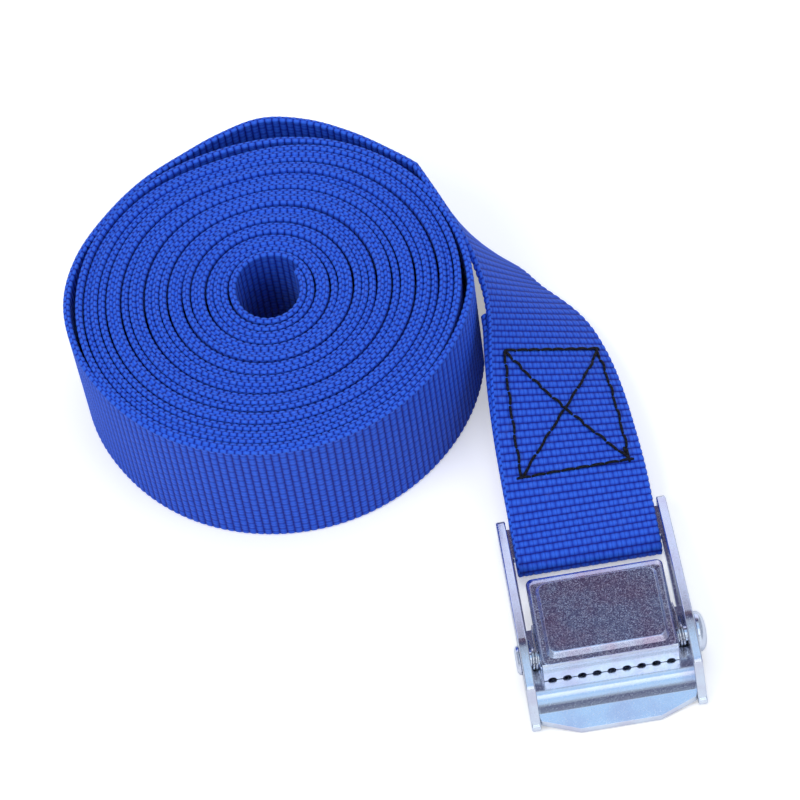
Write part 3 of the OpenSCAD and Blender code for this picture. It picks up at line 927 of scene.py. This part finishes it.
@dataclass
class CamLever:
    """Pressed lever: tray with rolled edges, proud thumb pad, toothed front band and ears."""

    finish: bpy.types.Material
    bright: bpy.types.Material
    half: float = 11.7
    front: float = -52.45
    rear: float = -34.5
    notches: int = 9
    pitch: float = 2.5
    notch: float = 0.72

    def tray(self) -> Surface:
        """Plate whose sides and rear roll down. Each ring steps out and down a quarter round.

        Returns: the tray, open underneath but for its own thickness.
        """
        def ring(inset: float, rear_in: float, z: float) -> np.ndarray:
            return rounded(self.half - inset, self.front + 0.25, self.rear - rear_in, 1.1 - 0.5 * inset, z)
        angle = np.linspace(0, np.pi / 2, 6)
        outer = [ring(0.9 * (1 - math.sin(a)), 2.0 * (1 - math.sin(a)), PLATE_TOP - 1.3 * (1 - math.cos(a)))
                 for a in angle]
        inner = [ring(0.9 * (1 - math.sin(a)) + 0.7, 2.0 * (1 - math.sin(a)) + 0.8,
                      PLATE_TOP - 1.1 - 0.9 * (1 - math.cos(a))) for a in angle[::-1]]
        return loft(np.stack(outer + inner))

    def pad(self) -> Surface:
        """Proud rounded rectangle with a wide front slope and narrow slopes elsewhere.

        Returns: the pad, standing 0.8 mm over the tray.
        """
        steps = ((0.0, -0.05), (0.12, 0.05), (0.45, 0.35), (0.8, 0.68), (0.95, 0.76), (1.12, 0.8))
        rings = [rounded(10.35 - 0.62 * s, self.front + 1.1 + 0.9 * s, self.rear - 1.9 - 0.5 * s,
                         1.5 - 0.3 * s, PLATE_TOP + h) for s, h in steps]
        return loft(np.stack(rings))

    def band(self) -> Surface:
        """Front band from the tray down to the teeth, with half-round notches.

        The lower edge follows z = foot + sqrt(r^2 - d^2) within a notch, d from its middle.
        Returns: the band, rounding back where it meets the tray.
        """
        wide, foot = self.half - 0.25, 3.42
        middle = (np.arange(self.notches) - (self.notches - 1) / 2) * self.pitch
        arc = np.radians(np.linspace(180, 0, 9))
        cuts = (middle[:, None] + self.notch * np.cos(arc)[None]).ravel()
        rise = np.tile(self.notch * np.sin(arc), self.notches)
        low_x = np.concatenate([[-wide], cuts, [wide]])
        low_z = foot + np.concatenate([[0.0], rise, [0.0]])
        count = len(low_x)
        rows = [np.column_stack([low_x, low_z])]
        for z in (5.6, 6.9, PLATE_TOP - 0.12):
            rows.append(np.column_stack([low_x, np.full(count, z)]))
        grid = np.stack(rows)
        lean = np.interp(grid[..., 1], [foot, 7.3, PLATE_TOP], [0.0, 0.02, 0.3])
        front = np.stack([BUCKLE_X + grid[..., 0], self.front + lean, grid[..., 1]], -1)
        back = front + np.array([0.0, 1.15, 0.0])
        return sheet_metal(front, back, np.ones((3, count - 1), bool))

    def ears(self) -> Surface:
        """Returns: the two ears that take the rivet, rounded below and square above."""
        low = np.radians(np.linspace(180, 360, 13))
        shape = np.vstack([np.column_stack([PIN_Y + 2.2 * np.cos(low), PIN_Z + 2.2 * np.sin(low)]),
                           [[PIN_Y + 2.2, 7.3], [PIN_Y - 2.2, 7.3]]])
        return prism(shape, BUCKLE_X + self.half - 1.1, BUCKLE_X + self.half).plus(
            prism(shape, BUCKLE_X - self.half, BUCKLE_X - self.half + 1.1))

    def build(self) -> list:
        """Returns: the lever's pieces."""
        centre = np.array([BUCKLE_X, 0.0, 0.0])
        tray, pad = self.tray(), self.pad()
        tray.points = tray.points + centre
        pad.points = pad.points + centre
        body = make_piece("lever_tray", tray, self.finish, Slot.ZINC)
        soften(body, 0.12)
        thumb = make_piece("lever_pad", pad, self.finish, Slot.ZINC)
        settle(thumb)
        teeth = make_piece("lever_teeth", self.band(), self.bright, Slot.ZINC)
        soften(teeth, 0.12)
        ears = make_piece("lever_ears", self.ears(), self.bright, Slot.ZINC)
        soften(ears, 0.12)
        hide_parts("cam_lever")
        for thing in (body, thumb, teeth, ears):
            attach(thing, Body.LEVER.value)
            report(thing)
        return [body, thumb, teeth, ears]


@dataclass
class Rivet:
    """Pivot rivet with a domed head on the right and a peened end on the left."""

    finish: bpy.types.Material

    def build(self) -> bpy.types.Object:
        """Turned shape: each profile point (x, r) goes round as (x, r cos a, r sin a).

        Returns: the rivet.
        """
        outer = 14.76
        dome = np.radians(np.linspace(0, 88, 9))
        head = np.column_stack([outer + 0.4 + 1.35 * np.sin(dome), 3.45 * np.cos(dome) ** 0.75])
        peen = np.array([[-outer - 0.5, 0.05], [-outer - 0.53, 1.0], [-outer - 0.8, 1.35],
                         [-outer - 0.78, 1.9], [-outer - 0.5, 2.4], [-outer - 0.1, 2.55], [-outer, 2.4]])
        profile = np.vstack([peen, [[-outer, 1.3], [outer, 1.3], [outer, 3.3], [outer + 0.12, 3.45]], head])
        turn = np.arange(48) / 48 * 2 * np.pi
        x = np.broadcast_to(BUCKLE_X + profile[:, :1], (len(profile), 48))
        rings = np.stack([x, PIN_Y + profile[:, 1:] * np.cos(turn)[None],
                          PIN_Z + profile[:, 1:] * np.sin(turn)[None]], -1)
        thing = make_piece("rivet", loft(rings), self.finish, Slot.ZINC)
        soften(thing, 0.08)
        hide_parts("pivot_rivet")
        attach(thing, Body.FRAME.value)
        report(thing)
        return thing


@dataclass
class ReturnSpring:
    """Double torsion spring: a leg on the plate and a coil each side, and a bridge under the lever."""

    finish: bpy.types.Material
    wire: float = 0.25
    coil: float = 1.67

    def build(self) -> bpy.types.Object:
        """Coil points are (x + step (1.5 - t), y - R sin 2 pi t, z - R cos 2 pi t), t from 0 to 1.5.

        Returns: the spring.
        """
        first, step, bridge_z, bridge_y = 12.03, 0.53, 6.8, PIN_Y + 5.8
        t = np.linspace(0, 1.5, 73)
        coil = np.column_stack([first + step * (1.5 - t), PIN_Y - self.coil * np.sin(2 * np.pi * t),
                                PIN_Z - self.coil * np.cos(2 * np.pi * t)])
        half = np.vstack([[[first + step * 1.5, PIN_Y + 4.8, 3.6]], coil,
                          [[first, PIN_Y + 3.6, bridge_z + 0.05], [first - 0.3, bridge_y - 0.3, bridge_z],
                           [first - 1.2, bridge_y, bridge_z], [0, bridge_y, bridge_z]]])
        path = np.vstack([half, (half * [-1, 1, 1])[:-1][::-1]]) + [BUCKLE_X, 0, 0]
        thing = make_piece("spring", tube(path, np.full(len(path), self.wire), 10), self.finish, Slot.WIRE)
        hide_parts("return_spring")
        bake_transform(thing)
        report(thing)
        return thing


# ---------------------------------------------------------------- studio


@dataclass(frozen=True)
class Card:
    """A staged card that lights the scene or shows in the metal."""

    name: str
    place: tuple
    aim: tuple
    size: tuple
    near: tuple
    far: tuple

    def build(self) -> bpy.types.Object:
        """Returns: the card, facing its aim and shading from near at its foot to far at its top."""
        mesh = bpy.data.meshes.new(self.name)
        w, h = self.size[0] / 2, self.size[1] / 2
        mesh.from_pydata([(-w, -h, 0), (w, -h, 0), (w, h, 0), (-w, h, 0)], [], [(0, 1, 2, 3)])
        material, kit, shader = start_material(self.name)
        kit.put((0.0, 0.0, 0.0, 1.0), shader.inputs["Base Color"])
        kit.put(1.0, shader.inputs["Roughness"])
        split = kit.add("ShaderNodeSeparateXYZ")
        kit.put(kit.add("ShaderNodeTexCoord").outputs["Object"], split.inputs[0])
        shade = kit.mix(kit.ramp(split.outputs[1], -h * 0.8, h * 0.8), self.near, self.far)
        kit.put(shade, shader.inputs["Emission Color"])
        kit.put(1.0, shader.inputs["Emission Strength"])
        mesh.materials.append(material)
        card = bpy.data.objects.new(self.name, mesh)
        bpy.context.scene.collection.objects.link(card)
        away = Vector(self.aim) - Vector(self.place)
        card.matrix_world = Matrix.Translation(self.place) @ away.to_track_quat("-Z", "Y").to_matrix().to_4x4()
        card.visible_camera = False
        card.visible_shadow = False
        card.visible_diffuse = False
        card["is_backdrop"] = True
        return card


@dataclass(frozen=True)
class Lamp:
    """A soft area lamp."""

    name: str
    place: tuple
    aim: tuple
    size: float
    power: float
    colour: tuple = (1.0, 1.0, 1.0)

    def build(self) -> bpy.types.Object:
        """Returns: the lamp."""
        data = bpy.data.lights.new(self.name, "AREA")
        data.shape = "DISK"
        data.size = self.size
        data.energy = self.power
        data.color = self.colour
        lamp = bpy.data.objects.new(self.name, data)
        bpy.context.scene.collection.objects.link(lamp)
        away = Vector(self.aim) - Vector(self.place)
        lamp.matrix_world = Matrix.Translation(self.place) @ away.to_track_quat("-Z", "Y").to_matrix().to_4x4()
        lamp.visible_glossy = False
        return lamp


class Studio:
    """White table, soft lamps, reflection cards and the camera."""

    def floor(self) -> None:
        """Lays a pale floor that stays white round the object."""
        mesh = bpy.data.meshes.new("floor")
        mesh.from_pydata([(-4, -4, 0), (4, -4, 0), (4, 4, 0), (-4, 4, 0)], [], [(0, 1, 2, 3)])
        material, kit, shader = start_material("floor")
        kit.put((0.9, 0.9, 0.9, 1.0), shader.inputs["Base Color"])
        seen = kit.add("ShaderNodeLightPath").outputs["Is Camera Ray"]
        kit.put((1.0, 1.0, 1.0, 1.0), shader.inputs["Emission Color"])
        kit.put(kit.math("MULTIPLY", seen, 0.4), shader.inputs["Emission Strength"])
        kit.put(0.9, shader.inputs["Roughness"])
        kit.put(0.1, shader.inputs["Specular IOR Level"])
        mesh.materials.append(material)
        floor = bpy.data.objects.new("floor", mesh)
        floor.location = (0, 0, -0.0002)
        bpy.context.scene.collection.objects.link(floor)
        floor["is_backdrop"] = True

    def world(self) -> None:
        """White to the camera, and soft grey-white as light."""
        world = bpy.data.worlds.new("studio")
        world.use_nodes = True
        bpy.context.scene.world = world
        kit = Nodes(world.node_tree)
        back = world.node_tree.nodes["Background"]
        path = kit.add("ShaderNodeLightPath")
        tone = kit.mix(path.outputs["Is Camera Ray"], (0.80, 0.86, 1.0, 1.0), (1.0, 1.0, 1.0, 1.0))
        kit.put(tone, back.inputs["Color"])
        kit.put(kit.math("MULTIPLY_ADD", path.outputs["Is Camera Ray"], 0.5), back.inputs["Strength"])
        back.inputs["Strength"].links[0].from_node.inputs[2].default_value = 0.5

    def camera(self) -> None:
        """Long lens, 54 degrees above the table, rolled 9.3 degrees."""
        tilt, roll, reach = math.radians(53.9), math.radians(9.3), 0.6
        target = Vector((0.0055 + SHIFT[0] * MM, 0.012 + SHIFT[1] * MM, 0.0))
        right, up = Vector((1, 0, 0)), Vector((0, math.sin(tilt), math.cos(tilt)))
        back = Vector((0, -math.cos(tilt), math.sin(tilt)))
        x = right * math.cos(roll) - up * math.sin(roll)
        y = right * math.sin(roll) + up * math.cos(roll)
        data = bpy.data.cameras.new("camera")
        data.lens = 151.4
        data.sensor_width = 36.0
        data.clip_start = 0.01
        camera = bpy.data.objects.new("camera", data)
        bpy.context.scene.collection.objects.link(camera)
        turn = Matrix((x, y, back)).transposed().to_4x4()
        camera.matrix_world = Matrix.Translation(target + back * reach) @ turn
        bpy.context.scene.camera = camera

    def build(self) -> None:
        """Sets the whole studio up."""
        self.floor()
        self.world()
        self.camera()
        aim = (0.0, 0.0, 0.01)
        for lamp in (
            Lamp("key", (-0.55, -0.35, 0.75), aim, 0.55, 3.4, (1.0, 0.99, 0.97)),
            Lamp("fill", (0.6, -0.45, 0.6), aim, 0.6, 1.5, (0.92, 0.95, 1.0)),
            Lamp("top", (0.05, 0.15, 0.9), aim, 0.45, 1.7, (0.9, 0.95, 1.0)),
        ):
            lamp.build()
        for card in (
            Card("dark_back", (0.04, 0.38, 0.6), (0.03, -0.04, 0.01), (0.7, 0.26),
                 (0.09, 0.03, 0.055, 1.0), (0.07, 0.08, 0.17, 1.0)),
            Card("pale_low", (0.03, 0.68, 0.31), (0.03, -0.04, 0.01), (1.2, 0.54),
                 (0.85, 0.9, 1.05, 1.0), (0.85, 0.87, 1.08, 1.0)),
            Card("sky", (0.03, -0.06, 0.8), (0.03, -0.04, 0.01), (0.9, 0.5),
                 (0.5, 0.72, 1.0, 1.0), (0.62, 0.8, 1.0, 1.0)),
            Card("front_high", (0.03, -0.6, 0.75), (0.03, -0.04, 0.01), (1.0, 0.6),
                 (1.25, 1.3, 1.35, 1.0), (1.1, 1.2, 1.3, 1.0)),
            Card("bright_front", (0.03, -0.7, 0.12), (0.03, -0.04, 0.01), (1.0, 0.5),
                 (0.9, 0.97, 1.0, 1.0), (0.85, 0.9, 0.95, 1.0)),
        ):
            card.build()
        bpy.context.scene.view_settings.view_transform = "Standard"


def corners(bounds) -> list:
    """Args: bounds: two corners. Returns: them as plain lists of numbers."""
    return [[float(value) for value in corner] for corner in bounds]


def main() -> None:
    logging.basicConfig(level=logging.INFO, format="%(name)s %(message)s")
    before = corners(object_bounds())
    shared = Shared()
    strap = WebbingFinish("webbing").build(shared)
    roll = WebbingFinish("webbing_roll", bump=0.8, depth=0.00022).build(shared)
    zinc = ZincFinish("zinc").build(shared)
    dusky = ZincFinish("zinc_lever", (0.58, 0.66, 0.86, 1.0), (0.52, 0.26, 0.4, 1.0), 0.14, 0.42, 0.5).build(shared)
    wire = ZincFinish("wire", light=(0.55, 0.56, 0.6, 1.0), tint=(0.4, 0.4, 0.44, 1.0)).build(shared)
    webbing = Webbing({"strap": strap, "roll": roll})
    webbing.build()
    BoxStitch(ThreadFinish("thread").build(shared), webbing).build()
    BuckleFrame(zinc).build()
    CamLever(dusky, zinc).build()
    Rivet(zinc).build()
    ReturnSpring(wire).build()
    Studio().build()
    {"cad": before, "looks": corners(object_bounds())}


if __name__ == "__main__":
    main()
